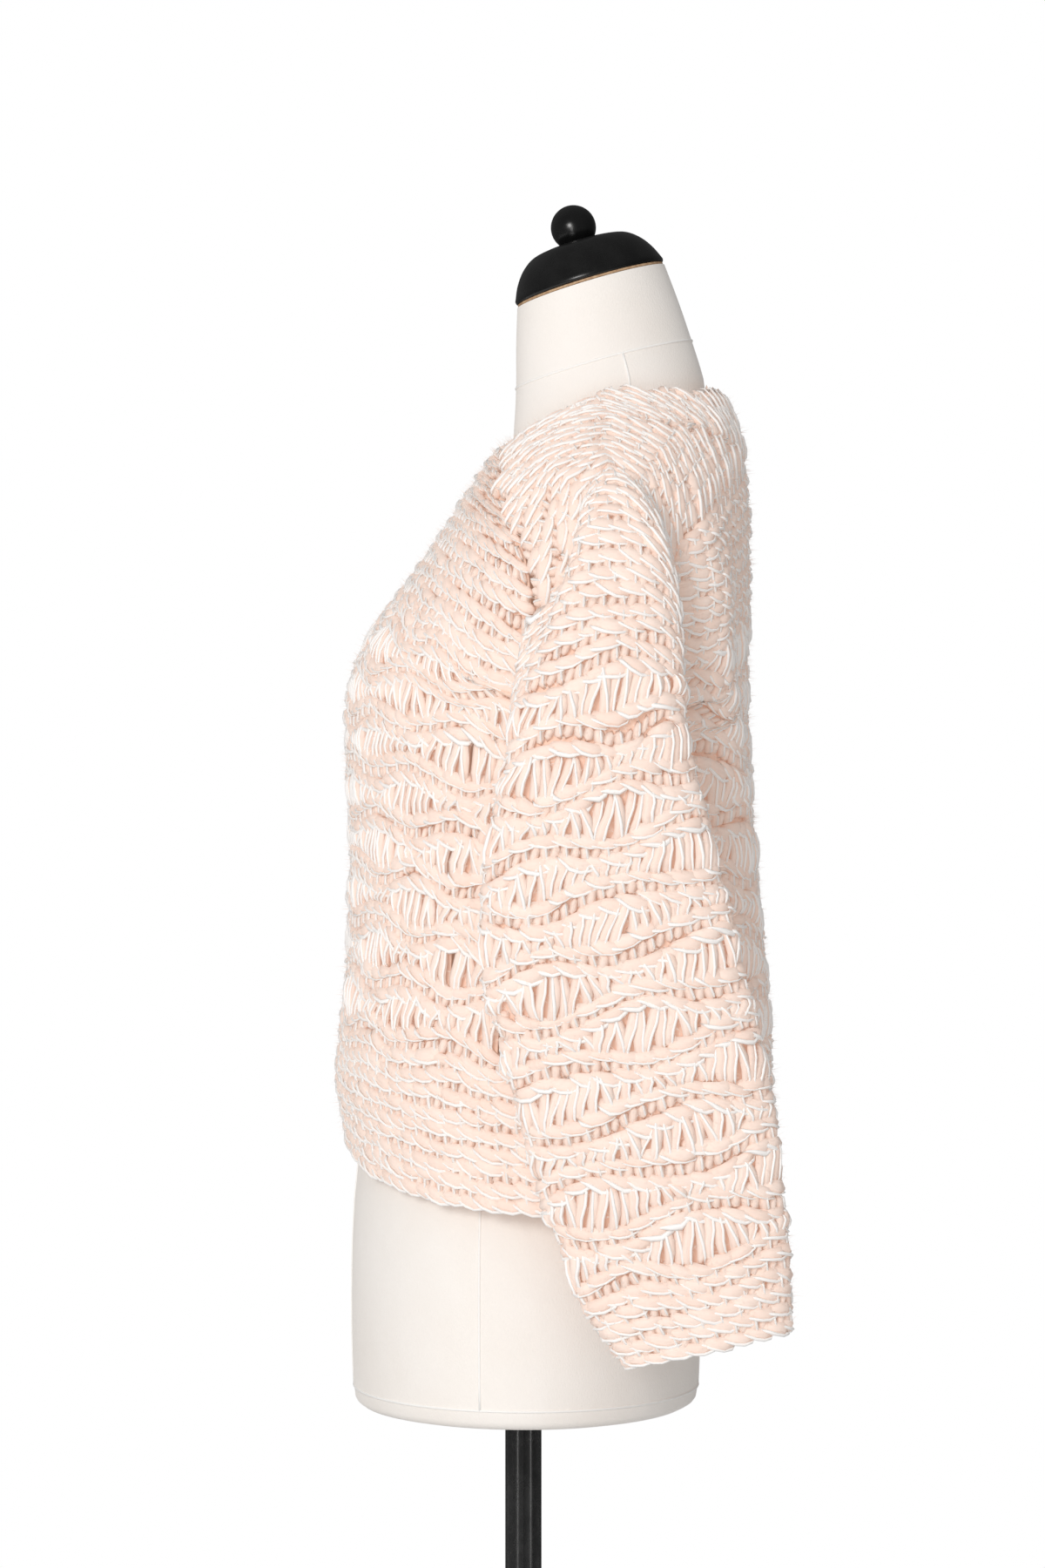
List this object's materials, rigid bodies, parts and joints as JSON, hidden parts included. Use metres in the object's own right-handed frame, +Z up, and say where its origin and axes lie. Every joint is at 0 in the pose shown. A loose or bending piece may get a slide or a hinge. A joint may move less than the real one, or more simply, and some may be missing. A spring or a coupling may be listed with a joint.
{
  "type": "knit sweater on a limbless dress form",
  "caption": "Chunky blush-pink hand-knit sweater with rows of dropped stitches, worn by a cloth-covered limbless dress form on a black fluted pole and round base",
  "frame": {"origin": "centre of the stand's underside, on the floor", "axes": "+Z up, +X the wearer's left, -Y the front"},
  "size_m": [0.5172, 0.38, 1.5536],
  "materials": {
    "yarn": "fuzzy bulky wool held with a thin white cord",
    "form_cover": "smooth ivory jersey",
    "bare_wood": "bare",
    "black_paint": "gloss black"
  },
  "bodies": {
    "root": {"front": "yarn", "back": "yarn", "yoke_left": "yarn", "yoke_right": "yarn", "sleeve_left": "yarn", "sleeve_right": "yarn", "form_torso": "form_cover", "neck_ring": "bare_wood", "neck_cap": "black_paint", "finial": "black_paint", "pole": "black_paint", "base": "black_paint"}
  },
  "joints": []
}
